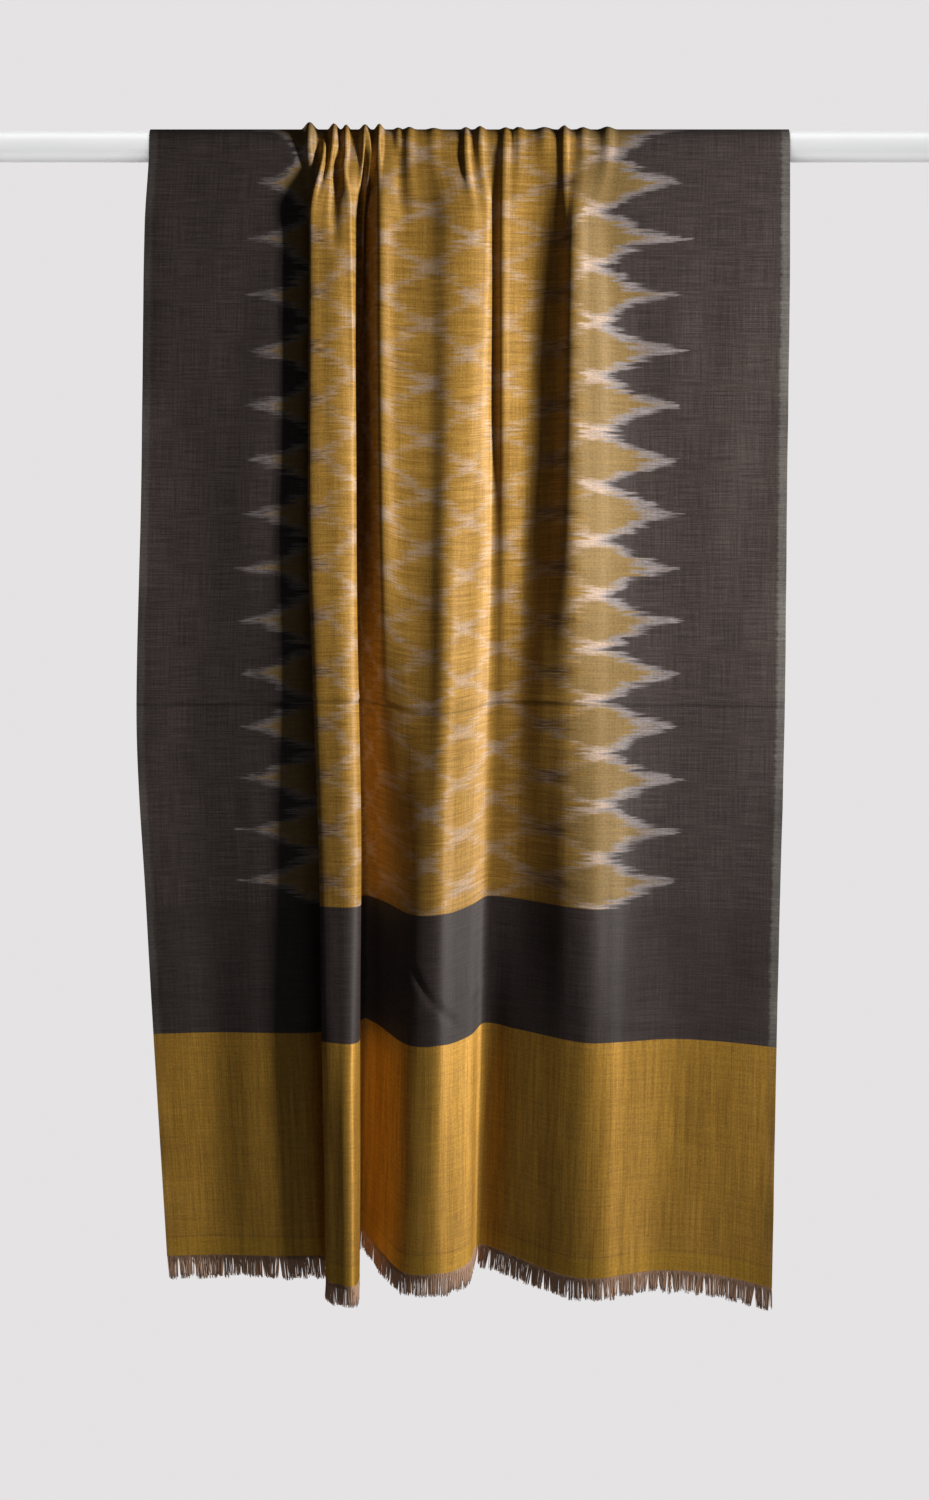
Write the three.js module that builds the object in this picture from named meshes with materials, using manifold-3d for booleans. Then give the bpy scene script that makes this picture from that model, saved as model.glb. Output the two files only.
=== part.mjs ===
// A woven shawl thrown over a plain round rod: one cloth with a front and a back panel, its
// width gathered on the rod into narrow pleats that run down into a few large folds, and a
// short fringe of its own warp at each end.
//
// Millimetres, +Z up. The origin is on the rod's axis at the middle of the shawl. The rod runs
// along X and the front of the shawl faces -Y.

import * as THREE from 'three';
import { mergeVertices } from 'three/addons/utils/BufferGeometryUtils.js';
import Module from 'manifold-3d';

// ---- Driving dimensions ---------------------------------------------------------------------

const ROD_DIAMETER = 28;
const ROD_LENGTH = 1000;
const ROD_SIDES = 40;

const CLOTH_WIDTH = 762; // selvedge to selvedge, laid flat
const BORDER_WIDTH = 109; // plain stretch along each selvedge, which hangs nearly flat
const WALL = 1.2;
const ROD_CLEARANCE = 0.7; // from the rod to the inside of the cloth
const FRONT_DROP = 1005; // from the rod's axis down to the front hem
const BACK_DROP = 955;

const FRINGE_GAP = 1.1; // between the hem and the fringe's root strip
const FRINGE_STRIP = 2.4; // height of the root strip
const FRINGE_LENGTH = 19;
const FRINGE_SPACING = 5.8;
const STRAND_ROOT = { width: 2.2, depth: 0.9 };
const STRAND_TIP = { width: 0.9, depth: 0.6 };

// Facets: the rows lie closer together near the rod, the columns closer in the gathered field.
const SADDLE_STEP = Math.PI / 8;
const FRONT_ROWS = 14;
const BACK_ROWS = 7;
const ROW_CROWDING = 1.6;
const FIELD_STEP = 9.5;
const BORDER_STEP = 28;
const LEAST_STEP = 4.5;

// ---- Tables ---------------------------------------------------------------------------------

function table(columns, rows) {
  const names = columns.split(' ');
  return rows.map((row) => Object.fromEntries(names.map((name, i) => [name, row[i]])));
}

// How far below the rod's axis each level of the tables lies.
const FRONT_LEVELS = { Neck: 75, Upper: 320, Middle: 510, Lower: 690, Hem: FRONT_DROP };
const BACK_LEVELS = { Neck: 75, Middle: 500, Hem: BACK_DROP };

// Front panel, a warp line a row. flat is its place from the left selvedge with the cloth laid
// flat, x its place along the rod at each level, out how far it stands in front of a plain
// hanging sheet, and drop how far its threads have slipped down.
const FRONT_FOLDS = table(
  'name flat xRod xNeck xUpper xMiddle xLower xHem'
    + ' outNeck outUpper outMiddle outLower outHem dropUpper dropLower dropHem',
  [
    ['left_selvedge', 0, -288, -292, -295, -299, -290, -271, 0, 2, 3, 4, 8, 0, 0, -5],
    ['left_panel', 55, -232, -237, -240, -246, -238, -219, 0, -1, -1, 0, 2, 0, -1, -5],
    ['left_border_end', 109, -177, -181, -185, -191, -183, -167, 0, 3, 4, 5, 10, 0, -1, -5],
    ['panel_under_roll', 145, -157, -151, -150, -156, -148, -134, 0, 4, 4, 4, 7, 0, -1, -5],
    ['roll_foot', 166, -148, -140, -132, -128, -122, -119, -2, -4, -4, -3, -1, 0, -2, -4],
    ['roll_turn', 178, -143, -137, -127, -122, -116, -113, 2, 3, 4, 4, 5, 0, 0, 0],
    ['roll_left', 196, -132, -143, -144, -139, -133, -128, 11, 14, 18, 22, 25, -2, 0, 12],
    ['roll_ridge', 217, -124, -131, -129, -123, -116, -113, 14, 20, 24, 28, 30, -3, 1, 17],
    ['roll_front', 234, -112, -117, -114, -109, -105, -103, 12, 17, 23, 27, 31, -3, 1, 18],
    ['roll_right', 248, -105, -106, -104, -100, -98, -99, 8, 12, 17, 21, 24, -3, 0, 16],
    ['roll_edge', 258, -100, -102, -102, -99, -97, -98, 3, 8, 11, 13, 16, -3, -2, 12],
    ['roll_back', 276, -95, -101, -104, -103, -101, -102, -3, -4, -3, -1, 1, -3, -5, -4],
    ['deep_valley', 310, -88, -95, -98, -97, -95, -98, -8, -14, -14, -13, -11, -3, -8, -27],
    ['valley_rise', 348, -82, -90, -90, -88, -85, -90, -2, -6, -9, -11, -10, -1, -6, -20],
    ['first_crest', 381, -75, -78, -77, -75, -72, -78, 13, 16, 4, 0, -3, 1, -1, -7],
    ['first_flank', 397, -66, -66, -64, -61, -58, -64, 8, 12, 8, 6, 5, 5, 6, 6],
    ['first_trough', 424, -42, -36, -36, -36, -39, -41, 4, 10, 17, 22, 25, 8, 9, 10],
    ['second_crest', 442, -26, -18, -21, -23, -27, -30, 11, 17, 20, 21, 21, 8, 8, 9],
    ['second_flank', 462, -8, 0, -6, -11, -14, -16, 11, 14, 15, 14, 13, 8, 6, 8],
    ['second_foot', 481, 6, 14, 8, 5, 2, -1, 6, 9, 8, 5, 2, 6, 0, 2],
    ['crease_valley', 505, 27, 26, 26, 22, 17, 8, 1, 2, -3, -7, -10, 3, -8, -12],
    ['crease_edge', 514, 34, 33, 32, 29, 24, 14, 3, 1, -4, -7, -10, 2, -8, -12],
    ['third_trough', 533, 57, 52, 51, 47, 42, 34, 3, 1, -1, -2, -4, 1, -6, -6],
    ['third_rise', 555, 80, 80, 73, 70, 68, 60, 8, 9, 7, 8, 6, 0, -2, 3],
    ['upper_third_crest', 575, 100, 95, 92, 91, 89, 80, 9, 16, 18, 21, 22, 0, 1, 9],
    ['third_crest', 593, 120, 109, 111, 111, 109, 100, 6, 12, 18, 24, 31, 0, 3, 12],
    ['lower_third_crest', 610, 136, 125, 128, 128, 126, 118, 3, 8, 13, 19, 32, 0, 3, 12],
    ['third_flank', 627, 151, 140, 145, 144, 142, 135, 1, 4, 8, 12, 26, 0, 3, 10],
    ['right_border_end', 653, 177, 172, 174, 173, 172, 162, 0, 1, 3, 5, 14, 0, 2, 8],
    ['right_panel', 708, 233, 232, 230, 229, 226, 218, 0, 1, 2, 3, 4, 0, 3, 12],
    ['right_selvedge', 762, 289, 289, 286, 284, 279, 272, 0, 1, 2, 4, 6, 0, 6, 24],
  ],
);

// Back panel, the same columns at fewer levels: soft even folds behind the front's outline.
const BACK_FOLDS = table(
  'name flat xNeck xMiddle xHem outNeck outMiddle outHem dropHem',
  [
    ['left_selvedge', 0, -288, -289, -266, 0, 3, 7, -4],
    ['left_panel', 55, -234, -238, -222, 0, 1, 4, -4],
    ['left_border_end', 109, -181, -190, -176, 1, 1, 3, -3],
    ['ridge_1', 163, -146, -156, -142, 8, 20, 18, 2],
    ['trough_1', 218, -117, -119, -106, 3, 1, 4, 0],
    ['ridge_2', 272, -91, -84, -70, 10, 24, 26, 5],
    ['trough_2', 327, -71, -46, -34, 2, -1, 1, -3],
    ['ridge_3', 382, -52, -8, 2, 9, 18, 22, 3],
    ['trough_3', 436, -12, 27, 37, 3, 3, 3, -2],
    ['ridge_4', 491, 32, 63, 72, 10, 25, 27, 4],
    ['trough_4', 545, 80, 101, 107, 2, 1, 5, -1],
    ['ridge_5', 600, 131, 137, 141, 7, 17, 20, 3],
    ['right_border_end', 653, 175, 173, 172, 2, 4, 8, 2],
    ['right_panel', 708, 231, 225, 219, 0, 3, 6, 3],
    ['right_selvedge', 762, 286, 277, 264, 0, 5, 9, 8],
  ],
);

// Pleats where the cloth is gathered on the rod: x is the pleat's place along the rod, halfWidth
// is measured there too, and fade is the length below the rod in which the pleat dies out.
const GATHERS = table('x height halfWidth fade', [
  [-144, 5.0, 7.0, 60],
  [-122, 5.5, 6.0, 80],
  [-111, 4.5, 4.5, 60],
  [-94, 4.5, 6.0, 70],
  [-81, 5.0, 5.4, 90],
  [-64, 2.5, 4.5, 50],
  [-55, 3.5, 5.4, 80],
  [-32, 1.8, 7.0, 60],
  [-3, 3.0, 4.0, 100],
  [10, 4.5, 5.4, 80],
  [33, 3.5, 5.0, 60],
  [45, 3.5, 5.4, 70],
  [68, 3.2, 10.0, 50],
  [86, 5.5, 4.5, 120],
  [103, 3.5, 6.0, 60],
  [125, 4.0, 8.0, 70],
]);

// ---- Curves ---------------------------------------------------------------------------------

// Slope at each place of a curve through the values. A calm curve never swings past a value.
function slopesThrough(places, values, calm) {
  const last = places.length - 1;
  const steps = places.slice(1).map((place, i) => place - places[i]);
  const rates = steps.map((step, i) => (values[i + 1] - values[i]) / step);
  return places.map((place, i) => {
    if (i === 0) return rates[0];
    if (i === last) return rates[last - 1];
    const before = rates[i - 1];
    const after = rates[i];
    const mean = (before * steps[i] + after * steps[i - 1]) / (steps[i - 1] + steps[i]);
    if (!calm) return mean;
    if (before * after <= 0) return 0;
    return Math.sign(mean) * Math.min(Math.abs(mean), 2 * Math.abs(before), 2 * Math.abs(after));
  });
}

// A smooth curve through the values, as a function of the place.
function smoothCurve(places, values, calm = false) {
  const slopes = slopesThrough(places, values, calm);
  return (at) => {
    const next = places.findIndex((place, i) => i > 0 && at <= place);
    const right = next < 0 ? places.length - 1 : next;
    const left = right - 1;
    const step = places[right] - places[left];
    const s = (at - places[left]) / step;
    const rise = values[right] - values[left];
    const ease = s * s * (3 - 2 * s);
    const swing = step * s * (1 - s) * (slopes[left] * (1 - s) - slopes[right] * s);
    return values[left] + rise * ease + swing;
  };
}

function foldCurve(folds, column) {
  return smoothCurve(folds.map((fold) => fold.flat), folds.map((fold) => fold[column]));
}

// ---- The cloth's surface --------------------------------------------------------------------

const CARRIER_RADIUS = ROD_DIAMETER / 2 + ROD_CLEARANCE + WALL / 2;
const QUARTER = (CARRIER_RADIUS * Math.PI) / 2;

// A plain sheet over the rod. along is the distance from the rod's top, positive to the front.
function carrier(along) {
  const front = along < 0 ? -1 : 1;
  const angle = Math.min(Math.abs(along), QUARTER) / CARRIER_RADIUS;
  const fall = Math.max(Math.abs(along) - QUARTER, 0);
  return {
    y: -front * CARRIER_RADIUS * Math.sin(angle),
    z: CARRIER_RADIUS * Math.cos(angle) - fall,
    outY: -front * Math.sin(angle),
    outZ: Math.cos(angle),
  };
}

const BACK_NAMES = Object.keys(BACK_LEVELS).reverse();
const FRONT_NAMES = Object.keys(FRONT_LEVELS);
const LEVELS = [
  ...BACK_NAMES.map((name) => -QUARTER - BACK_LEVELS[name]),
  -QUARTER,
  QUARTER,
  ...FRONT_NAMES.map((name) => QUARTER + FRONT_LEVELS[name]),
];

const placeOnRod = foldCurve(FRONT_FOLDS, 'xRod');

// The curves across the cloth, one for each level. Where a table has no such column at a level,
// the value there is found between its neighbours, so that level is left out.
function levelCurves(kind, onRod) {
  const curves = [];
  const add = (folds, column, along) => {
    if (column in folds[0]) curves.push({ along, across: foldCurve(folds, column) });
  };
  BACK_NAMES.forEach((name, i) => add(BACK_FOLDS, kind + name, LEVELS[i]));
  curves.push({ along: -QUARTER, across: onRod });
  curves.push({ along: QUARTER, across: onRod });
  const first = BACK_NAMES.length + 2;
  FRONT_NAMES.forEach((name, i) => add(FRONT_FOLDS, kind + name, LEVELS[first + i]));
  return curves;
}

const CROSS_CURVES = {
  x: levelCurves('x', placeOnRod),
  out: levelCurves('out', () => 0),
  drop: levelCurves('drop', () => 0),
};

// The height of the gathers at one flat place, before and after they fade below the rod.
function gatherHeight(flat, along) {
  const below = Math.max(Math.abs(along) - QUARTER, 0);
  const x = placeOnRod(flat);
  return GATHERS.reduce((height, pleat) => {
    const offset = Math.min(Math.abs(x - pleat.x) / pleat.halfWidth, 1);
    const fading = Math.max(1 - below / pleat.fade, 0);
    return height + pleat.height * Math.cos((offset * Math.PI) / 2) ** 2 * fading ** 2;
  }, 0);
}

// One warp line: a function from the distance along it to a point on the cloth's middle surface.
function warpLine(flat) {
  const alongCurve = (curves) => smoothCurve(
    curves.map((curve) => curve.along),
    curves.map((curve) => curve.across(flat)),
    true,
  );
  const xAt = alongCurve(CROSS_CURVES.x);
  const outAt = alongCurve(CROSS_CURVES.out);
  const dropAt = alongCurve(CROSS_CURVES.drop);
  return (along) => {
    const base = carrier(along);
    const out = outAt(along) + gatherHeight(flat, along);
    const z = base.z + out * base.outZ - dropAt(along);
    return new THREE.Vector3(xAt(along), base.y + out * base.outY, z);
  };
}

// ---- Rows and columns of the cloth's faces --------------------------------------------------

function fallRows(drop, count) {
  return Array.from({ length: count }, (_, i) => drop * ((i + 1) / count) ** ROW_CROWDING);
}

function rowPlaces() {
  const quarterSteps = Math.round(Math.PI / 2 / SADDLE_STEP);
  const saddle = [];
  for (let i = -quarterSteps; i <= quarterSteps; i += 1) saddle.push((i / quarterSteps) * QUARTER);
  const back = fallRows(BACK_DROP, BACK_ROWS).map((fall) => -QUARTER - fall).reverse();
  const front = fallRows(FRONT_DROP, FRONT_ROWS).map((fall) => QUARTER + fall);
  return [...back, ...saddle, ...front];
}

// The flat place of a point on the rod, by halving.
function flatAtRod(x) {
  let low = 0;
  let high = CLOTH_WIDTH;
  while (high - low > 0.01) {
    const middle = (low + high) / 2;
    if (placeOnRod(middle) < x) low = middle;
    else high = middle;
  }
  return (low + high) / 2;
}

// Every gather's peak and feet, and the fold lines that don't crowd them.
function keyPlaces() {
  const pleats = GATHERS.flatMap(({ x, halfWidth }) => [x - halfWidth, x, x + halfWidth]);
  const keys = pleats.map(flatAtRod).sort((a, b) => a - b);
  const kept = keys.filter((key, i) => i === 0 || key - keys[i - 1] >= LEAST_STEP);
  FRONT_FOLDS.forEach(({ flat }) => {
    if (kept.every((key) => Math.abs(key - flat) >= LEAST_STEP)) kept.push(flat);
  });
  return kept.sort((a, b) => a - b);
}

function columnPlaces() {
  const keys = keyPlaces();
  const places = [keys[0]];
  keys.slice(1).forEach((key, i) => {
    const span = key - keys[i];
    const inBorder = key <= BORDER_WIDTH || keys[i] >= CLOTH_WIDTH - BORDER_WIDTH;
    const parts = Math.ceil(span / (inBorder ? BORDER_STEP : FIELD_STEP));
    for (let part = 1; part <= parts; part += 1) places.push(keys[i] + (span * part) / parts);
  });
  return places;
}

// ---- Thin walls -----------------------------------------------------------------------------

// The unit normal at a grid point, facing away from the rod.
function gridNormal(grid, row, column) {
  const rowEnd = grid.length - 1;
  const columnEnd = grid[0].length - 1;
  const down = new THREE.Vector3().subVectors(
    grid[Math.min(row + 1, rowEnd)][column],
    grid[Math.max(row - 1, 0)][column],
  );
  const across = new THREE.Vector3().subVectors(
    grid[row][Math.min(column + 1, columnEnd)],
    grid[row][Math.max(column - 1, 0)],
  );
  return down.cross(across).normalize();
}

function gridNormals(grid) {
  return grid.map((line, row) => line.map((point, column) => gridNormal(grid, row, column)));
}

// A closed wall of even thickness about a grid of middle points.
function wallGeometry(grid, normals, thickness) {
  const rows = grid.length;
  const columns = grid[0].length;
  const positions = [];
  [0.5, -0.5].forEach((side) => {
    grid.forEach((line, row) => line.forEach((point, column) => {
      const moved = point.clone().addScaledVector(normals[row][column], side * thickness);
      positions.push(moved.x, moved.y, moved.z);
    }));
  });
  const faces = [];
  const inner = rows * columns;
  const at = (row, column) => row * columns + column;
  const addEdge = (from, to) => faces.push(from, to, to + inner, from, to + inner, from + inner);
  for (let row = 0; row < rows - 1; row += 1) {
    for (let column = 0; column < columns - 1; column += 1) {
      const [a, b] = [at(row, column), at(row, column + 1)];
      const [c, d] = [at(row + 1, column), at(row + 1, column + 1)];
      faces.push(a, c, b, b, c, d);
      faces.push(a + inner, b + inner, c + inner, b + inner, d + inner, c + inner);
    }
    addEdge(at(row + 1, 0), at(row, 0));
    addEdge(at(row, columns - 1), at(row + 1, columns - 1));
  }
  for (let column = 0; column < columns - 1; column += 1) {
    addEdge(at(0, column), at(0, column + 1));
    addEdge(at(rows - 1, column + 1), at(rows - 1, column));
  }
  return indexedGeometry(positions, faces);
}

function indexedGeometry(positions, faces) {
  const geometry = new THREE.BufferGeometry();
  geometry.setAttribute('position', new THREE.Float32BufferAttribute(positions, 3));
  geometry.setIndex(faces);
  return geometry;
}

// ---- Solids that are joined -----------------------------------------------------------------

const wasm = await Module();
wasm.setup();

function toSolid(geometry) {
  const bare = geometry.clone();
  bare.deleteAttribute('normal');
  bare.deleteAttribute('uv');
  const merged = mergeVertices(bare, 1e-4);
  return new wasm.Manifold(new wasm.Mesh({
    numProp: 3,
    vertProperties: new Float32Array(merged.attributes.position.array),
    triVerts: new Uint32Array(merged.index.array),
  }));
}

function toGeometry(solid) {
  const mesh = solid.getMesh();
  return indexedGeometry(Array.from(mesh.vertProperties), Array.from(mesh.triVerts));
}

// ---- Fringes --------------------------------------------------------------------------------

// Evenly spread numbers between 0 and 1, the same ones on every run.
function seededNumbers(seed) {
  let state = seed;
  return () => {
    state = (state * 1664525 + 1013904223) % 4294967296;
    return state / 4294967296;
  };
}

// The hem as frames along its length: a point, the way down, the way out and the way across.
function hemFrames(grid, normals, hemRow, insideRow) {
  return grid[hemRow].map((point, column) => {
    const down = point.clone().sub(grid[insideRow][column]).normalize();
    const out = normals[hemRow][column].clone();
    const across = new THREE.Vector3().crossVectors(out, down).normalize();
    return { point, down, out, across };
  });
}

// The frame at a length along the hem.
function frameAlong(frames, length) {
  let passed = 0;
  for (let i = 1; i < frames.length; i += 1) {
    const span = frames[i].point.distanceTo(frames[i - 1].point);
    if (passed + span >= length || i === frames.length - 1) {
      const share = Math.min((length - passed) / span, 1);
      const mix = (key) => frames[i - 1][key].clone().lerp(frames[i][key], share);
      return { point: mix('point'), down: mix('down'), out: mix('out'), across: mix('across') };
    }
    passed += span;
  }
  return frames[0];
}

// The narrow strip that the strands grow from, just below the hem. Its rows run the same way as
// the cloth's, which is down on the front panel and up on the back one.
function rootStrip(frames) {
  const falls = [FRINGE_GAP, FRINGE_GAP + FRINGE_STRIP];
  if (frames[0].out.y > 0) falls.reverse();
  const grid = falls.map((fall) => frames.map(
    ({ point, down }) => point.clone().addScaledVector(down, fall),
  ));
  const normals = falls.map(() => frames.map(({ out }) => out));
  return wallGeometry(grid, normals, WALL);
}

// One lock of threads: a three-sided taper from inside the strip to its tip.
function strandGeometry(frame, length, lean) {
  const corners = [[-0.5, -0.5], [0.5, -0.5], [0, 0.5]];
  const root = frame.point.clone().addScaledVector(frame.down, FRINGE_GAP + FRINGE_STRIP * 0.6);
  const tip = frame.point.clone().addScaledVector(frame.down, length);
  tip.addScaledVector(frame.across, lean);
  const positions = [];
  [[root, STRAND_ROOT], [tip, STRAND_TIP]].forEach(([centre, size]) => {
    corners.forEach(([side, face]) => {
      const corner = centre.clone();
      corner.addScaledVector(frame.across, side * size.width);
      corner.addScaledVector(frame.out, face * size.depth);
      positions.push(corner.x, corner.y, corner.z);
    });
  });
  const faces = [0, 2, 1, 3, 4, 5, 0, 1, 3, 1, 4, 3, 1, 2, 4, 2, 5, 4, 2, 0, 5, 0, 3, 5];
  return indexedGeometry(positions, faces);
}

function fringeGeometry(frames, seed) {
  const random = seededNumbers(seed);
  const hemLength = frames.slice(1).reduce(
    (sum, frame, i) => sum + frame.point.distanceTo(frames[i].point),
    0,
  );
  const count = Math.floor(hemLength / FRINGE_SPACING);
  let solid = toSolid(rootStrip(frames));
  for (let i = 0; i < count; i += 1) {
    const place = ((i + 0.5 + 0.3 * (random() - 0.5)) * hemLength) / count;
    const length = FRINGE_LENGTH * (0.85 + 0.25 * random());
    const lean = 1.6 * (random() - 0.5);
    solid = solid.add(toSolid(strandGeometry(frameAlong(frames, place), length, lean)));
  }
  return toGeometry(solid);
}

// ---- Materials and meshes -------------------------------------------------------------------

function cloth(color) {
  return new THREE.MeshStandardMaterial({ color, roughness: 0.7, metalness: 0 });
}

function namedMesh(name, geometry, material) {
  geometry.computeVertexNormals();
  const mesh = new THREE.Mesh(geometry, material);
  mesh.name = name;
  return mesh;
}

function rodMesh() {
  const radius = ROD_DIAMETER / 2;
  const geometry = new THREE.CylinderGeometry(radius, radius, ROD_LENGTH, ROD_SIDES);
  const white = new THREE.MeshStandardMaterial({ color: 0xe8e8e8, roughness: 0.45, metalness: 0 });
  const mesh = namedMesh('rod', geometry, white);
  mesh.rotation.z = Math.PI / 2;
  return mesh;
}

const rows = rowPlaces();
const warpLines = columnPlaces().map(warpLine);
const clothGrid = rows.map((along) => warpLines.map((line) => line(along)));
const clothNormals = gridNormals(clothGrid);
const frontHem = hemFrames(clothGrid, clothNormals, rows.length - 1, rows.length - 2);
const backHem = hemFrames(clothGrid, clothNormals, 0, 1);

const shawl = new THREE.Group();
shawl.add(rodMesh());
shawl.add(namedMesh('cloth', wallGeometry(clothGrid, clothNormals, WALL), cloth(0xb08030)));
shawl.add(namedMesh('fringe_front', fringeGeometry(frontHem, 11), cloth(0x6d5948)));
shawl.add(namedMesh('fringe_back', fringeGeometry(backHem, 23), cloth(0x6d5948)));

export default shawl;
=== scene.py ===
"""A handwoven ikat shawl hung over a white rod: its fine cloth, fringes, finishes and studio."""

import math

import bpy
import numpy as np
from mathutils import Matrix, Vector


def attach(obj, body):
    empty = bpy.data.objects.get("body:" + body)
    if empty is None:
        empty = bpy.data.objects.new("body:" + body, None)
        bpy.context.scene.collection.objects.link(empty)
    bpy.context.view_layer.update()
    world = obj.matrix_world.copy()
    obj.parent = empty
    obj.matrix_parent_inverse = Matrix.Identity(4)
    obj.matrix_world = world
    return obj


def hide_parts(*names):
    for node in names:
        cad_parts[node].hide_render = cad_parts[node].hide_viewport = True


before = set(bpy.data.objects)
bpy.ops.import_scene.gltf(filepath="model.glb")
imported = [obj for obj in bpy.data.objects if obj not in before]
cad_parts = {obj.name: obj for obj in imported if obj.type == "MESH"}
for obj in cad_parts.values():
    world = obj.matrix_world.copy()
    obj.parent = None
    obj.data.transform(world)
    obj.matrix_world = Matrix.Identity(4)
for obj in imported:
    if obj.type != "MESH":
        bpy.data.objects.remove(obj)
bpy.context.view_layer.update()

MM = 0.001
PER_METRE = 1000.0
SEED = 7

# ---- Sizes of the real thing, in millimetres -------------------------------------------------

ROD_RADIUS = 14.0
ROD_HALF_LENGTH = 500.0
CLOTH_WIDTH = 762.0  # selvedge to selvedge, laid flat
CARRIER_RADIUS = 15.3  # of the cloth's middle surface round the rod
QUARTER = CARRIER_RADIUS * math.pi / 2
FRONT_DROP = 1005.0
BACK_DROP = 955.0
SHELL = 0.6  # thickness of the fine cloth
FRINGE_LENGTH = 20.0

# Places on the cloth laid flat: across from the left selvedge, and along from the rod's top.
BORDER_END = 109.0  # tips of the left teeth
TOOTH = 57.0  # length of the half diamonds along both borders
COLUMN = 43.0  # from one lattice column to the next
COLUMNS = 12
PERIOD = 48.5  # from one diamond to the next along the cloth
BUNDLE = 2.1  # height of the weft threads that are dyed together
GOLD_BAND = 203.0  # height of the plain band at each end
DARK_BAND = 117.0
FRONT_END = QUARTER + FRONT_DROP
BACK_END = -QUARTER - BACK_DROP
FIELD_FRONT = FRONT_END - GOLD_BAND - DARK_BAND
FIELD_BACK = BACK_END + GOLD_BAND + DARK_BAND
FIRST_TIP = FIELD_FRONT - PERIOD / 2 + 1.0

# The photo's own pixels, for places that were read off it.
MM_PER_PIXEL = 0.9
SHAWL_MIDDLE_COLUMN = 469.0
ROD_AXIS_ROW = 143.5
PHOTO_MIDDLE_COLUMN, PHOTO_MIDDLE_ROW = 464.5, 750.0
FRONT_STORAGE_ROW, BACK_STORAGE_ROW = 705.0, 520.0  # the back one is a guess

# ---- How it hangs ----------------------------------------------------------------------------


def table(columns, rows):
    """Rows of numbers under named columns, as one array for each column."""
    names = columns.split()
    return {name: np.array([row[i] for row in rows], float) for i, name in enumerate(names)}


FRONT_LEVELS = {"Neck": 75.0, "Upper": 320.0, "Middle": 510.0, "Lower": 690.0, "Hem": FRONT_DROP}
BACK_LEVELS = {"Neck": 75.0, "Middle": 500.0, "Hem": BACK_DROP}

# Front panel, a warp line a row: its flat place, then its place along the rod (x), how far it
# stands out and how far its threads have slipped down (drop), at each level.
FRONT_FOLDS = table(
    "flat xRod xNeck xUpper xMiddle xLower xHem"
    " outNeck outUpper outMiddle outLower outHem dropUpper dropLower dropHem",
    [
        [0, -288, -292, -295, -299, -290, -271, 0, 2, 3, 4, 8, 0, 0, -5],
        [55, -232, -237, -240, -246, -238, -219, 0, -1, -1, 0, 2, 0, -1, -5],
        [109, -177, -181, -185, -191, -183, -167, 0, 3, 4, 5, 10, 0, -1, -5],
        [145, -157, -151, -150, -156, -148, -134, 0, 4, 4, 4, 7, 0, -1, -5],
        [166, -148, -140, -132, -128, -122, -119, -2, -4, -4, -3, -1, 0, -2, -4],
        [178, -143, -137, -127, -122, -116, -113, 2, 3, 4, 4, 5, 0, 0, 0],
        [196, -132, -143, -144, -139, -133, -128, 11, 14, 18, 22, 25, -2, 0, 12],
        [217, -124, -131, -129, -123, -116, -113, 14, 20, 24, 28, 30, -3, 1, 17],
        [234, -112, -117, -114, -109, -105, -103, 12, 17, 23, 27, 31, -3, 1, 18],
        [248, -105, -106, -104, -100, -98, -99, 8, 12, 17, 21, 24, -3, 0, 16],
        [258, -100, -102, -102, -99, -97, -98, 3, 8, 11, 13, 16, -3, -2, 12],
        [276, -95, -101, -104, -103, -101, -102, -3, -4, -3, -1, 1, -3, -5, -4],
        [310, -88, -95, -98, -97, -95, -98, -8, -14, -14, -13, -11, -3, -8, -27],
        [348, -82, -90, -90, -88, -85, -90, -2, -6, -9, -11, -10, -1, -6, -20],
        [381, -75, -78, -77, -75, -72, -78, 13, 16, 4, 2, 1, 1, -1, -7],
        [397, -66, -66, -64, -61, -58, -64, 8, 12, 10, 12, 14, 5, 6, 6],
        [424, -42, -36, -36, -36, -39, -41, 6, 13, 17, 20, 21, 8, 9, 10],
        [442, -26, -18, -21, -23, -27, -30, 11, 17, 20, 21, 20, 8, 8, 9],
        [462, -8, 0, -6, -11, -14, -16, 11, 14, 15, 14, 13, 8, 6, 8],
        [481, 6, 14, 8, 5, 2, -1, 6, 9, 8, 5, 2, 6, 0, 2],
        [505, 27, 26, 26, 22, 17, 8, 1, 1, 1, -6, -10, 3, -8, -12],
        [514, 34, 33, 32, 29, 24, 14, 3, 3, 2, -5, -9, 2, -8, -12],
        [533, 57, 52, 51, 47, 42, 34, 0, 0, 4, 1, 0, 1, -6, -6],
        [555, 80, 80, 73, 70, 68, 60, 4, 7, 13, 11, 11, 0, -2, 3],
        [575, 100, 95, 92, 91, 89, 80, 12, 18, 20, 19, 19, 0, 1, 9],
        [593, 120, 109, 111, 111, 109, 100, 7, 13, 18, 22, 25, 0, 3, 12],
        [610, 136, 125, 128, 128, 126, 118, 2, 7, 12, 17, 26, 0, 3, 12],
        [627, 151, 140, 145, 144, 142, 135, 1, 3, 7, 11, 20, 0, 3, 10],
        [653, 177, 172, 174, 173, 172, 162, 0, 1, 3, 5, 10, 0, 2, 8],
        [708, 233, 232, 230, 229, 226, 218, 0, 1, 2, 3, 4, 0, 3, 12],
        [762, 289, 289, 286, 284, 279, 272, 0, 1, 2, 4, 6, 0, 6, 24],
    ],
)

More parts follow.
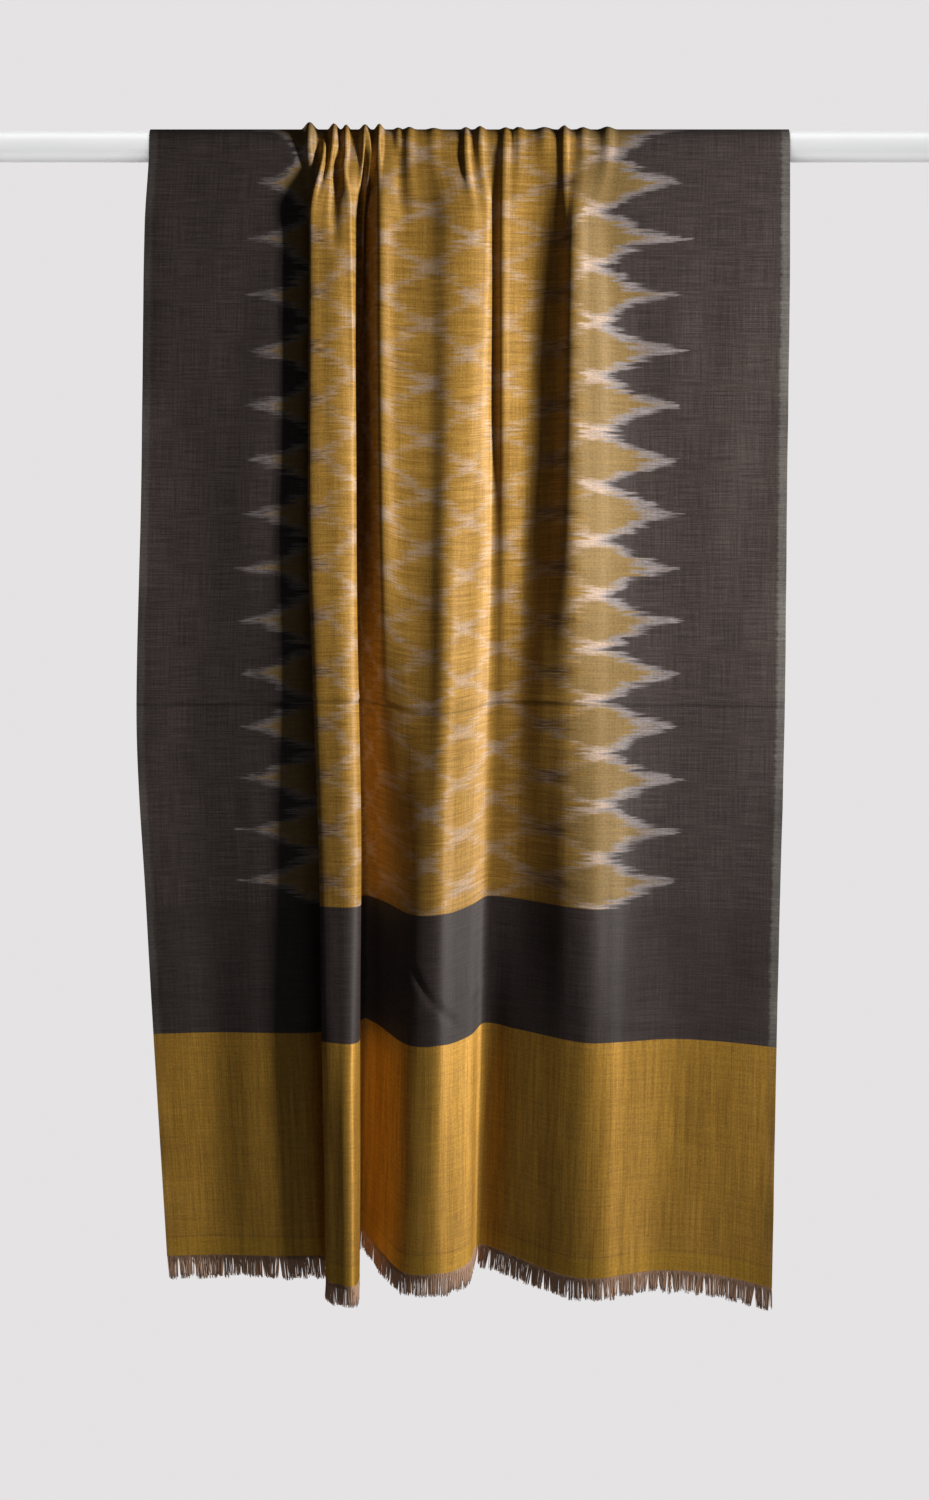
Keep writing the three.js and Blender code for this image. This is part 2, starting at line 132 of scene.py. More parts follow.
BACK_FOLDS = table(
    "flat xNeck xMiddle xHem outNeck outMiddle outHem dropHem",
    [
        [0, -288, -289, -266, 0, 3, 7, -4],
        [55, -234, -238, -222, 0, 1, 4, -4],
        [109, -181, -190, -176, 1, 1, 3, -3],
        [163, -146, -156, -142, 8, 20, 18, 2],
        [218, -117, -119, -106, 3, 1, 4, 0],
        [272, -91, -84, -70, 10, 24, 26, 5],
        [327, -71, -46, -34, 2, -1, 1, -3],
        [382, -52, -8, 2, 9, 18, 22, 3],
        [436, -12, 27, 37, 3, 3, 3, -2],
        [491, 32, 63, 72, 10, 25, 27, 4],
        [545, 80, 101, 107, 2, 1, 5, -1],
        [600, 131, 137, 141, 7, 17, 20, 3],
        [653, 175, 173, 172, 2, 4, 8, 2],
        [708, 231, 225, 219, 0, 3, 6, 3],
        [762, 286, 277, 264, 0, 5, 9, 8],
    ],
)

# Pleats on the rod: place along it, height, half the width there, and the length below the rod
# in which the pleat dies out.
GATHERS = table(
    "x height half_width fade",
    [
        [-144, 6.5, 8.0, 60],
        [-122, 5.5, 6.0, 80],
        [-111, 4.5, 4.5, 60],
        [-94, 4.5, 6.0, 70],
        [-81, 5.0, 5.4, 90],
        [-64, 1.8, 5.0, 50],
        [-54, 2.4, 6.4, 80],
        [-32, 1.4, 8.0, 60],
        [-3, 2.2, 5.0, 100],
        [10, 3.2, 6.0, 80],
        [33, 2.0, 6.0, 60],
        [45, 2.6, 6.0, 70],
        [68, 2.2, 10.0, 50],
        [86, 4.0, 5.6, 120],
        [103, 2.2, 7.0, 60],
        [125, 2.6, 9.0, 70],
    ],
)


def slopes_through(places, values, calm):
    """The slope at each place of a curve through the values. A calm curve never swings past one."""
    steps = np.diff(places)[:, None]
    rates = np.diff(values, axis=0) / steps
    before, after = rates[:-1], rates[1:]
    inner = (before * steps[1:] + after * steps[:-1]) / (steps[1:] + steps[:-1])
    if calm:
        most = 2 * np.minimum(abs(before), abs(after))
        inner = np.where(before * after > 0, np.clip(inner, -most, most), 0)
    return np.vstack([rates[:1], inner, rates[-1:]])


def smooth_curve(places, values, at, calm=False):
    """Smooth curves through the values, one for each of their columns, read at some places."""
    places, at = np.asarray(places, float), np.asarray(at, float)
    values = np.asarray(values, float).reshape(len(places), -1)
    slopes = slopes_through(places, values, calm)
    right = np.clip(np.searchsorted(places, at), 1, len(places) - 1)
    left = right - 1
    step = (places[right] - places[left])[:, None]
    s = (at - places[left])[:, None] / step
    ease = s * s * (3 - 2 * s)
    swing = step * s * (1 - s) * (slopes[left] * (1 - s) - slopes[right] * s)
    return values[left] + (values[right] - values[left]) * ease + swing


def across(folds, column, flats):
    return smooth_curve(folds["flat"], folds[column], flats)[:, 0]


def hang(kind, flats, alongs, on_rod):
    """x, out or drop over the whole grid, from what the tables say at each level."""
    levels, values = [], []
    for name in reversed(list(BACK_LEVELS)):
        if kind + name in BACK_FOLDS:
            levels.append(-QUARTER - BACK_LEVELS[name])
            values.append(across(BACK_FOLDS, kind + name, flats))
    levels += [-QUARTER, QUARTER]
    values += [on_rod, on_rod]
    for name, fall in FRONT_LEVELS.items():
        if kind + name in FRONT_FOLDS:
            levels.append(QUARTER + fall)
            values.append(across(FRONT_FOLDS, kind + name, flats))
    return smooth_curve(levels, values, alongs, calm=True)


def gather_heights(x_on_rod, alongs):
    """How far the pleats stand out, before and after they fade below the rod."""
    below = np.maximum(abs(alongs) - QUARTER, 0)
    heights = np.zeros((len(alongs), len(x_on_rod)))
    for x, height, half_width, fade in zip(*GATHERS.values()):
        offset = np.minimum(abs(x_on_rod - x) / half_width, 1)
        fading = np.maximum(1 - below / fade, 0)
        heights += np.outer(fading**2, height * np.cos(offset * math.pi / 2) ** 2)
    return heights


def carrier(alongs):
    """A plain sheet over the rod: its y and z, and the y and z of the way out."""
    front = np.where(alongs < 0, -1.0, 1.0)
    angle = np.minimum(abs(alongs), QUARTER) / CARRIER_RADIUS
    fall = np.maximum(abs(alongs) - QUARTER, 0)
    out_y, out_z = -front * np.sin(angle), np.cos(angle)
    return CARRIER_RADIUS * out_y, CARRIER_RADIUS * out_z - fall, out_y, out_z


def cloth_points(flats, alongs):
    """The cloth's middle surface as an array of rows, columns and x, y, z."""
    x_on_rod = across(FRONT_FOLDS, "xRod", flats)
    flat_rod = np.zeros(len(flats))
    x = hang("x", flats, alongs, x_on_rod)
    out = hang("out", flats, alongs, flat_rod) + gather_heights(x_on_rod, alongs)
    drop = hang("drop", flats, alongs, flat_rod)
    base_y, base_z, out_y, out_z = (part[:, None] for part in carrier(alongs))
    return np.stack([x, base_y + out * out_y, base_z + out * out_z - drop], axis=-1)


# ---- Creases and waves that are too fine for the solids --------------------------------------


def px_down(y):
    """Millimetres along the cloth from the rod's top for a pixel row of the photo."""
    return QUARTER + (y - ROD_AXIS_ROW) * MM_PER_PIXEL


def soft_line(distance, half_width):
    """1 on a line, easing to 0 at half_width away."""
    return np.exp(-((distance / half_width) ** 2))


def span(value, low, high, ease):
    """1 between low and high, easing to 0 outside."""
    return 0.5 * (np.tanh((value - low) / ease) - np.tanh((value - high) / ease))


# Creases: both ends across and along, then depth (a trough is negative) and half width.
CREASES = table(
    "x0 along0 x1 along1 depth half_width",
    [
        [-50, 758, -15, 806, -1.6, 3.0],
        [-52, 800, 19, 783, 1.2, 4.0],
        [-292, 785, -195, 783, 0.8, 7.0],
        [-270, 800, -205, 794, -0.6, 5.0],
        [118, 806, 268, 803, 0.9, 6.0],
        [130, 818, 240, 812, -0.6, 5.0],
        [-290, 560, -262, 553, 0.7, 4.0],
        [-292, 640, -268, 646, 0.7, 4.0],
        [-290, 702, -258, 694, 0.9, 4.0],
        [-286, 742, -256, 748, 0.8, 4.0],
        [-280, 842, -252, 836, 0.7, 4.0],
        [262, 610, 284, 618, 0.6, 4.0],
        [252, 700, 280, 694, 0.7, 4.0],
        [246, 760, 278, 768, 0.8, 4.5],
        [-210, -640, -120, -652, 0.8, 5.0],
        [60, -700, 190, -690, 0.9, 6.0],
        [-60, -560, -10, -600, -0.9, 4.0],
        [180, -480, 262, -474, 0.6, 5.0],
    ],
)
FRONT_FOLD, BACK_FOLD = px_down(FRONT_STORAGE_ROW), -px_down(BACK_STORAGE_ROW)
STORAGE_FOLDS = [FRONT_FOLD, BACK_FOLD]  # where the shawl lay folded across

# Pleats and hollows of the front panel that run nearly along the warp: the flat place and the
# photo's pixel row of both ends, then the height (a hollow's is negative) and the half width.
PLEATS = table(
    "flat0 y0 flat1 y1 height half_width",
    [
        [227, 150, 231, 240, -4.0, 6.0],
        [219, 134, 211, 205, 2.0, 3.0],
        [223, 136, 246, 205, 2.4, 3.0],
        [246, 205, 252, 400, 1.6, 3.0],
        [298, 128, 296, 330, 5.0, 7.0],
        [284, 135, 282, 300, -2.5, 4.0],
        [398, 124, 404, 215, -2.2, 5.0],
        [470, 126, 466, 190, 2.0, 4.0],
        [497, 150, 499, 640, -1.6, 4.0],
        [511, 130, 511, 450, 3.2, 4.4],
        [200, 126, 201, 215, 5.0, 7.0],
        [541, 150, 541, 400, -2.4, 12.0],
        [575, 160, 575, 400, -0.6, 13.0],
        [217, 180, 217, 760, -3.2, 13.0],
        [222, 1060, 222, 1330, 3.0, 12.0],
    ],
)


def pleat_relief(flat, along):
    """Pleats as soft ridges and hollows that run nearly along the warp, on the front panel."""
    relief = np.zeros(np.broadcast(flat, along).shape)
    for flat0, y0, flat1, y1, height, half_width in zip(*PLEATS.values()):
        start, end = px_down(y0), px_down(y1)
        share = np.clip((along - start) / (end - start), 0, 1)
        line = flat0 + (flat1 - flat0) * share
        fade = 0.14 * (end - start) + 4.0
        relief += height * soft_line(flat - line, half_width) * span(along, start, end, fade)
    return relief


def crease_relief(x, along):
    """Creases as soft troughs and ridges, in millimetres outwards."""
    relief = np.zeros_like(x)
    for x0, along0, x1, along1, depth, half_width in zip(*CREASES.values()):
        run = np.hypot(x1 - x0, along1 - along0)
        ux, ua = (x1 - x0) / run, (along1 - along0) / run
        down_run = (x - x0) * ux + (along - along0) * ua
        bow = 0.06 * run * np.sin(np.clip(down_run / run, 0, 1) * math.pi)
        off = (along - along0) * ux - (x - x0) * ua - bow
        relief += depth * soft_line(off, half_width) * span(down_run, 0, run, 0.15 * run)
    for place in STORAGE_FOLDS:
        wave = 1.5 * np.sin(x / 61.0) + 0.8 * np.sin(x / 23.0)
        off = along - place - wave
        relief += 0.55 * soft_line(off + 3.5, 4.0) - 0.75 * soft_line(off, 1.8)
    return relief


WAVES = 14
TURN = 6.28  # a full turn, near enough for a wave
PUCKER_REACH = 9.0  # from a selvedge inwards


def wave_relief(flat, along):
    """Slow waves of hanging cloth and small puckers along the selvedges."""
    draws = np.random.default_rng(SEED)
    relief = np.zeros(np.broadcast(flat, along).shape)
    below = np.clip((abs(along) - QUARTER) / 150.0, 0, 1)
    for _ in range(WAVES):
        pitch = draws.uniform(38, 120)
        drift = draws.uniform(-0.07, 0.07)
        phase, slow, size = draws.uniform(0, TURN), draws.uniform(250, 700), draws.uniform(0.12, 0.3)
        sideways = np.sin((flat + drift * along) / pitch * TURN + phase)
        relief += size * sideways * np.sin(along / slow * TURN + phase)
    edge = np.exp(-flat / PUCKER_REACH) + np.exp(-(CLOTH_WIDTH - flat) / PUCKER_REACH)
    pucker = np.sin(along / 27.0) * np.sin(along / 61.0 + 1.0) + 0.5 * np.sin(along / 11.0 + 2.0)
    return relief * below + 1.3 * edge * pucker * below


# ---- Meshes ----------------------------------------------------------------------------------


def grid_normals(points):
    """Unit normals of a grid of points, away from the rod."""
    down = np.gradient(points, axis=0)
    side = np.gradient(points, axis=1)
    normals = np.cross(down, side)
    return normals / np.linalg.norm(normals, axis=-1, keepdims=True)


def wall_faces(rows, columns):
    """Quads of a closed wall whose outer grid comes first and whose inner grid follows."""
    index = np.arange(rows * columns).reshape(rows, columns)
    a, b, c, d = index[:-1, :-1], index[:-1, 1:], index[1:, :-1], index[1:, 1:]
    outer = np.stack([a, c, d, b], axis=-1).reshape(-1, 4)
    inner = np.stack([a, b, d, c], axis=-1).reshape(-1, 4) + index.size
    loops = [
        (index[1:, 0], index[:-1, 0]),
        (index[:-1, -1], index[1:, -1]),
        (index[0, :-1], index[0, 1:]),
        (index[-1, 1:], index[-1, :-1]),
    ]
    edges = [
        np.stack([start, end, end + index.size, start + index.size], axis=-1)
        for start, end in loops
    ]
    return np.vstack([outer, inner, *edges])


def new_mesh(name, points, faces, uvs=None):
    """A smooth mesh object from points in millimetres, riding on the part's one body."""
    mesh = bpy.data.meshes.new(name)
    mesh.from_pydata((points * MM).tolist(), [], faces)
    if uvs is not None:
        corner = np.empty(len(mesh.loops), dtype=np.int32)
        mesh.loops.foreach_get("vertex_index", corner)
        layer = mesh.uv_layers.new(name="flat")
        layer.data.foreach_set("uv", (uvs[corner] * MM).astype(np.float32).ravel())
    mesh.polygons.foreach_set("use_smooth", [True] * len(mesh.polygons))
    mesh.update()
    piece = bpy.data.objects.new(name, mesh)
    bpy.context.scene.collection.objects.link(piece)
    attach(piece, "root")
    return piece


def spread(marks):
    """Places between marks (place, step): each stretch up to the next mark in equal steps."""
    places = [marks[0][0]]
    for (start, step), (end, _) in zip(marks, marks[1:]):
        count = max(1, round((end - start) / step))
        places += [start + (end - start) * (i + 1) / count for i in range(count)]
    return np.array(places)


# Grid of the fine cloth, as places and the step from each: closer columns in the folds and at
# the selvedges, closer rows near the rod, at the storage folds and at the dark band's creases.
FOLDS_FROM, FOLDS_TO = 130.0, 640.0
CREASES_FROM, CREASES_TO = 745.0, 825.0
COLUMN_MARKS = [
    (0.0, 1.5), (PUCKER_REACH, 7.5), (FOLDS_FROM, 2.8), (FOLDS_TO, 7.5),
    (CLOTH_WIDTH - PUCKER_REACH, 1.5), (CLOTH_WIDTH, 1.0),
]
ROW_MARKS = [
    (BACK_END, 22.0), (BACK_FOLD - 8, 2.7), (BACK_FOLD + 8, 22.0), (-QUARTER - 60, 7.0),
    (-QUARTER, 4.0), (QUARTER, 5.0), (QUARTER + 140, 9.0), (FRONT_FOLD - 8, 2.0),
    (FRONT_FOLD + 8, 7.5), (CREASES_FROM, 4.5), (CREASES_TO, 7.5), (FRONT_END, 1.0),
]


# The fine relief fades out over the rod, and no hollow in it reaches the rod.
FADE_ABOVE, FADE_LENGTH = 14.0, 24.0
DEEPEST_ON_ROD = 0.4
FALL_PER_DEPTH = 5.0  # length below the rod that lets a hollow be 1 mm deeper


def fine_cloth(flats, alongs):
    """Points and normals of the fine cloth's middle surface."""
    points = cloth_points(flats, alongs)
    normals = grid_normals(points)
    relief = crease_relief(points[..., 0], alongs[:, None])
    relief += wave_relief(flats[None, :], alongs[:, None])
    relief += pleat_relief(flats[None, :], alongs[:, None])
    below = (abs(alongs) - QUARTER)[:, None]
    clear = np.clip((below + FADE_ABOVE) / FADE_LENGTH, 0, 1)
    lowest = -DEEPEST_ON_ROD - np.maximum(below, 0) / FALL_PER_DEPTH
    relief = np.maximum(relief * clear, lowest)
    points = points + normals * relief[..., None]
    return points, grid_normals(points)


def make_cloth():
    flats, alongs = spread(COLUMN_MARKS), spread(ROW_MARKS)
    points, normals = fine_cloth(flats, alongs)
    both = np.concatenate([points + normals * SHELL / 2, points - normals * SHELL / 2])
    uv = np.stack(np.broadcast_arrays(flats[None, :], alongs[:, None]), axis=-1).reshape(-1, 2)
    faces = wall_faces(len(alongs), len(flats)).tolist()
    piece = new_mesh("shawl_cloth", both.reshape(-1, 3), faces, np.vstack([uv, uv]))
    piece.data.set_sharp_from_angle(angle=math.radians(70))
    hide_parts("cloth")
    return piece, points, normals


THREAD_PITCH = 0.25
THREAD_RADII = (0.36, 0.54)
THREAD_STEPS = 5
THREAD_SIDES = 3
CLUMP = 6.6  # common width of a clump of threads
CLUMP_SPREAD = (0.45, 1.6)  # narrowest and widest, as shares of it
CLUMP_REACH = (0.86, 1.05)  # length, as a share of the fringe's
CLUMP_GATHER = (0.0, 0.24)  # how far its threads draw together
STRAY_SHARE = 0.08
ROOT_DEPTH = 0.5  # how far a thread reaches up into the cloth


def thread_rings(roots, tips, bends, radii):
    """Tapered three-sided threads as one set of points and faces."""
    count = len(roots)
    steps = np.linspace(0, 1, THREAD_STEPS)
    angles = np.arange(THREAD_SIDES) / THREAD_SIDES * 2 * math.pi
    ring = np.stack([np.cos(angles), np.sin(angles), 0 * angles], axis=-1)
    along = steps[None, :, None]
    centres = roots[:, None] * (1 - along) + tips[:, None] * along
    centres = centres + bends[:, None] * (np.sin(along * math.pi) * 0.6 + along**2 * 0.4)
    size = radii[:, None, None, None] * (1 - 0.3 * steps[None, :, None, None])
    points = (centres[:, :, None, :] + ring[None, None] * size).reshape(-1, 3)
    base = np.arange(count)[:, None, None] * THREAD_STEPS * THREAD_SIDES
    step = np.arange(THREAD_STEPS - 1)[None, :, None] * THREAD_SIDES
    side = np.arange(THREAD_SIDES)[None, None, :]
    after = (side + 1) % THREAD_SIDES
    a, b = base + step + side, base + step + after
    quads = np.stack([a, b, b + THREAD_SIDES, a + THREAD_SIDES], axis=-1).reshape(-1, 4)
    caps = np.arange(count)[:, None] * THREAD_STEPS * THREAD_SIDES + np.arange(THREAD_SIDES)
    return points, quads, caps[:, ::-1], caps + (THREAD_STEPS - 1) * THREAD_SIDES


def make_fringe(name, node, hem, normals, inward, seed):
    """Loose warp ends: fine threads in uneven clumps below one hem. inward is the cloth's row of
    points next to the hem."""
    draws = np.random.default_rng(seed)
    length = np.concatenate([[0], np.cumsum(np.linalg.norm(np.diff(hem, axis=0), axis=1))])
    total = length[-1]
    place = np.arange(0.4, total - 0.4, THREAD_PITCH)
    place = place + draws.uniform(-0.1, 0.1, len(place))

    def at_threads(vectors):
        return np.stack([np.interp(place, length, vectors[:, i]) for i in range(3)], -1)

    down = hem - inward
    down /= np.linalg.norm(down, axis=1, keepdims=True)
    side = np.cross(normals, down)
    if side[:, 0].mean() < 0:
        side = -side

    edges = [0.0]
    while edges[-1] < total:
        edges.append(edges[-1] + CLUMP * draws.uniform(*CLUMP_SPREAD))
    edges = np.array(edges)
    clump = np.searchsorted(edges, place) - 1
    clump = np.clip(clump, 0, len(edges) - 2)
    middle = (edges[clump] + edges[clump + 1]) / 2
    slow = np.sin(edges / 31.0 + draws.uniform(0, 6.0)) + np.sin(edges / 83.0)
    lean = (draws.normal(0, 1.0, len(edges)) + 0.9 * slow)[clump]
    reach = draws.uniform(*CLUMP_REACH, len(edges))[clump]
    gather = draws.uniform(*CLUMP_GATHER, len(edges))[clump]
    stand = draws.normal(0, 0.4, len(edges))[clump]
    stray = draws.uniform(0, 1, len(place)) < STRAY_SHARE

    fall = FRINGE_LENGTH * reach * draws.uniform(0.86, 1.04, len(place))
    fall = np.where(stray, fall * draws.uniform(0.45, 1.0, len(place)), fall)
    shift = (middle - place) * gather + lean
    shift = np.where(stray, draws.normal(0, 2.2, len(place)), shift)
    shift = shift + draws.normal(0, 0.25, len(place))
    roots = at_threads(hem - down * ROOT_DEPTH)
    down_at, side_at, out_at = at_threads(down), at_threads(side), at_threads(normals)
    tips = roots + down_at * (fall + ROOT_DEPTH)[:, None] + side_at * shift[:, None]
    tips += out_at * (stand + draws.normal(0, 0.15, len(place)))[:, None]
    bends = side_at * draws.normal(0, 0.5, len(place))[:, None]
    bends += out_at * draws.normal(0, 0.15, len(place))[:, None]
    radii = draws.uniform(*THREAD_RADII, len(place))
    thread_points, quads, low_caps, high_caps = thread_rings(roots, tips, bends, radii)

    faces = quads.tolist() + low_caps.tolist() + high_caps.tolist()
    piece = new_mesh(name, thread_points, faces)
    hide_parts(node)
    return piece


ROD_SIDES = 96
ROD_RINGS = 41
ROD_EDGE, ROD_EDGE_MIDDLE = 1.2, 0.35  # how far the ends' edges are broken


def make_rod():
    """A smooth pole with softly broken edges at its flat ends."""
    sides, left = ROD_SIDES, -ROD_HALF_LENGTH
    left_end = [
        (left, 0.0), (left, ROD_RADIUS - ROD_EDGE),
        (left + ROD_EDGE_MIDDLE, ROD_RADIUS - ROD_EDGE_MIDDLE), (left + ROD_EDGE, ROD_RADIUS),
    ]
    spans = np.linspace(left + ROD_EDGE, -left - ROD_EDGE, ROD_RINGS)[1:-1]
    profile = left_end + [(x, ROD_RADIUS) for x in spans]
    profile += [(-x, r) for x, r in reversed(left_end)]
    turn = np.arange(sides) / sides * 2 * math.pi
    rings = profile[1:-1]
    points = [(profile[0][0], 0.0, 0.0)]
    for x, r in rings:
        points += [(x, r * math.cos(t), r * math.sin(t)) for t in turn]
    points.append((profile[-1][0], 0.0, 0.0))
    last = len(points) - 1
    faces = []
    for side in range(sides):
        after = (side + 1) % sides
        faces.append((0, 1 + after, 1 + side))
        for ring in range(len(rings) - 1):
            near, far = 1 + ring * sides, 1 + (ring + 1) * sides
            faces.append((near + side, near + after, far + after, far + side))
        end = 1 + (len(rings) - 1) * sides
        faces.append((last, end + side, end + after))
    piece = new_mesh("white_rod", np.array(points), faces)
    piece.data.set_sharp_from_angle(angle=math.radians(50))
    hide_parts("rod")
    return piece


# ---- Materials -------------------------------------------------------------------------------


class Value:
    """A shader socket that takes part in plain arithmetic."""

    def __init__(self, graph, socket):
        self.graph, self.socket = graph, socket

    def __add__(self, other):
        return self.graph.math("ADD", self, other)

    def __radd__(self, other):
        return self.graph.math("ADD", other, self)

    def __sub__(self, other):
        return self.graph.math("SUBTRACT", self, other)

    def __rsub__(self, other):
        return self.graph.math("SUBTRACT", other, self)

    def __mul__(self, other):
        return self.graph.math("MULTIPLY", self, other)

    def __rmul__(self, other):
        return self.graph.math("MULTIPLY", other, self)

    def __truediv__(self, other):
        return self.graph.math("DIVIDE", self, other)


class Graph:
    """A material's node tree, with short calls for the nodes that it needs."""

    def __init__(self, name):
        self.material = bpy.data.materials.new(name)
        self.material.use_nodes = True
        self.tree = self.material.node_tree
        self.shader = self.tree.nodes["Principled BSDF"]

    def put(self, name, value):
        """Feeds one of the shader's own inputs."""
        self.feed(self.shader.inputs[name], value)

    def feed(self, target, value):
        """Links a Value to a socket, or sets the socket's own number or colour."""
        if isinstance(value, Value):
            self.tree.links.new(value.socket, target)
        else:
            target.default_value = value

    def math(self, operation, first, second=None):
        node = self.tree.nodes.new("ShaderNodeMath")
        node.operation = operation
        for target, value in zip(node.inputs, (first, second)):
            if value is not None:
                self.feed(target, value)
        return Value(self, node.outputs[0])

    def ease(self, value, low, high):
        """0 below low and 1 above high, smooth between. low may be the greater one."""
        node = self.tree.nodes.new("ShaderNodeMapRange")
        node.interpolation_type = "SMOOTHSTEP"
        self.feed(node.inputs["Value"], value)
        self.feed(node.inputs["From Min"], low)
        self.feed(node.inputs["From Max"], high)
        return Value(self, node.outputs["Result"])

    def uv(self):
        """Flat place and place along, in millimetres."""
        node = self.tree.nodes.new("ShaderNodeUVMap")
        node.uv_map = "flat"
        parts = self.tree.nodes.new("ShaderNodeSeparateXYZ")
        self.tree.links.new(node.outputs[0], parts.inputs[0])
        flat, along = (Value(self, parts.outputs[i]) for i in range(2))
        return flat * PER_METRE, along * PER_METRE

    def x_and_z(self):
        """Place in the room, in millimetres, across and up."""
        node = self.tree.nodes.new("ShaderNodeNewGeometry")
        parts = self.tree.nodes.new("ShaderNodeSeparateXYZ")
        self.tree.links.new(node.outputs["Position"], parts.inputs[0])
        return tuple(Value(self, parts.outputs[i]) * PER_METRE for i in (0, 2))

    def noise(self, x, y, detail=1.0, turn=0.0):
        """Soft noise about 0, from -1 to 1, on a plane of two Values. turn picks the plane."""
        joined = self.tree.nodes.new("ShaderNodeCombineXYZ")
        self.feed(joined.inputs[0], x)
        self.feed(joined.inputs[1], y)
        joined.inputs[2].default_value = turn
        node = self.tree.nodes.new("ShaderNodeTexNoise")
        node.noise_dimensions = "3D"
        node.inputs["Scale"].default_value = 1.0
        node.inputs["Detail"].default_value = detail
        self.tree.links.new(joined.outputs[0], node.inputs["Vector"])
        return (Value(self, node.outputs[0]) - 0.5) * 2.0

    def blend(self, factor, first, second, kind="MIX"):
        """A colour between two colours."""
        node = self.tree.nodes.new("ShaderNodeMix")
        node.data_type = "RGBA"
        node.blend_type = kind
        node.clamp_factor = True
        self.feed(node.inputs[0], factor)
        self.feed(node.inputs[6], first)
        self.feed(node.inputs[7], second)
        return Value(self, node.outputs[2])

    def bump(self, height, distance, strength):
        node = self.tree.nodes.new("ShaderNodeBump")
        node.inputs["Strength"].default_value = strength
        node.inputs["Distance"].default_value = distance
        self.feed(node.inputs["Height"], height)
        return Value(self, node.outputs[0])


def colour(red, green, blue):
    """A linear colour from the 0 to 255 numbers that a screen shows."""
    return tuple(((part / 255.0 + 0.055) / 1.055) ** 2.4 for part in (red, green, blue)) + (1.0,)


GOLD = colour(195, 149, 69)
GOLD_DEEP = colour(165, 121, 46)
GOLD_HEM = colour(220, 168, 68)
GOLD_HEM_DEEP = colour(190, 140, 58)
GOLD_LAST = colour(222, 172, 52)
KHAKI = colour(148, 122, 78)
PALE = colour(208, 182, 162)
PALE_GREY = colour(162, 152, 151)
TAUPE = colour(81, 71, 68)
TAUPE_DARK = colour(62, 53, 51)
BROWN = colour(76, 55, 36)
SELVEDGE = colour(126, 123, 117)
THREAD = colour(242, 197, 163)


def absolute(value):
    return value.graph.math("ABSOLUTE", value)


def greater(first, second):
    return first.graph.math("MAXIMUM", first, second)


def lesser(first, second):
    return first.graph.math("MINIMUM", first, second)


def dyed_bundles(graph, flat, along):
    """Weft threads are tied and dyed in bundles, and each one slips a little sideways.

    Returns the place along the cloth in steps of a bundle, and how far each thread has slipped.
    """
    steps = along / BUNDLE + 0.7 * graph.noise(flat / 30.0, along / 15.0, turn=4.0)
    bundle = graph.math("FLOOR", steps)
    by_bundle = graph.noise(bundle * 0.73, flat / 60.0, 0.0, turn=5.3)
    by_thread = graph.noise(flat / 22.0, along / 0.9, turn=6.0)
    return bundle * BUNDLE, 15.0 * by_bundle + 9.0 * by_thread


def lattice_columns(graph, flat):
    """The lattice column, a whole number at the nodes, and how far it is outside the field's
    first and last nodes: 0 at those nodes, 1 at the tips and negative in the field."""
    first, last = BORDER_END + TOOTH, BORDER_END + TOOTH + COLUMN * (COLUMNS - 2)
    left = lesser((flat - BORDER_END) / TOOTH, 1.0)
    middle = lesser(greater((flat - first) / COLUMN, 0.0), COLUMNS - 2.0)
    right = greater((flat - last) / TOOTH, 0.0)
    column = left + middle + right
    return column, absolute(column - COLUMNS / 2.0) - (COLUMNS / 2.0 - 1.0)


